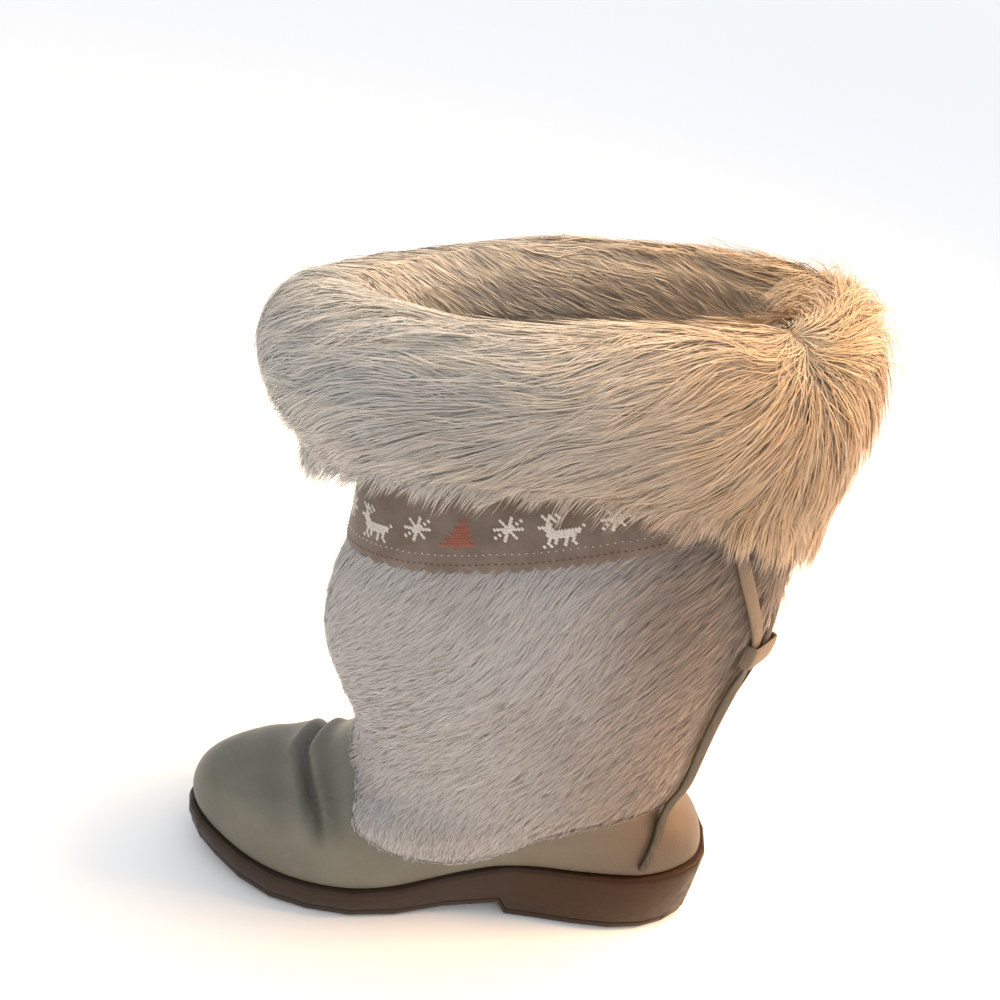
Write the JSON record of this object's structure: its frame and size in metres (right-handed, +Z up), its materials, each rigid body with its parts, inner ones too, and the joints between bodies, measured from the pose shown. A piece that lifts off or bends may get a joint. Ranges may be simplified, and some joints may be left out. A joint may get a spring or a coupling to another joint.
{
  "type": "apres-ski boot",
  "caption": "Tall fur apres-ski boot for the left foot, with a leather foot, deep fur cuff, suede band and thongs at the back.",
  "frame": {"origin": "on the floor, under the middle of the sole's length and breadth", "axes": "-X towards the toe, +X towards the heel, -Y the outer side of the foot, +Z up the shaft"},
  "size_m": [0.285, 0.1499, 0.3696],
  "materials": {
    "sole_rubber": "satin dark brown moulded rubber",
    "insole_felt": "felted wool",
    "olive_leather": "smooth waxed olive grey leather",
    "short_fur": "short cream grey hair",
    "band_suede": "taupe suede with embroidery",
    "long_fur": "long blond hair",
    "thong_leather": "matt taupe leather"
  },
  "bodies": {
    "root": {"outsole": "sole_rubber", "insole": "insole_felt", "upper": "olive_leather", "fur_shaft": "short_fur", "band": "band_suede", "cuff": "long_fur", "thong_outer": "thong_leather", "thong_inner": "thong_leather", "keeper": "thong_leather"}
  },
  "joints": []
}
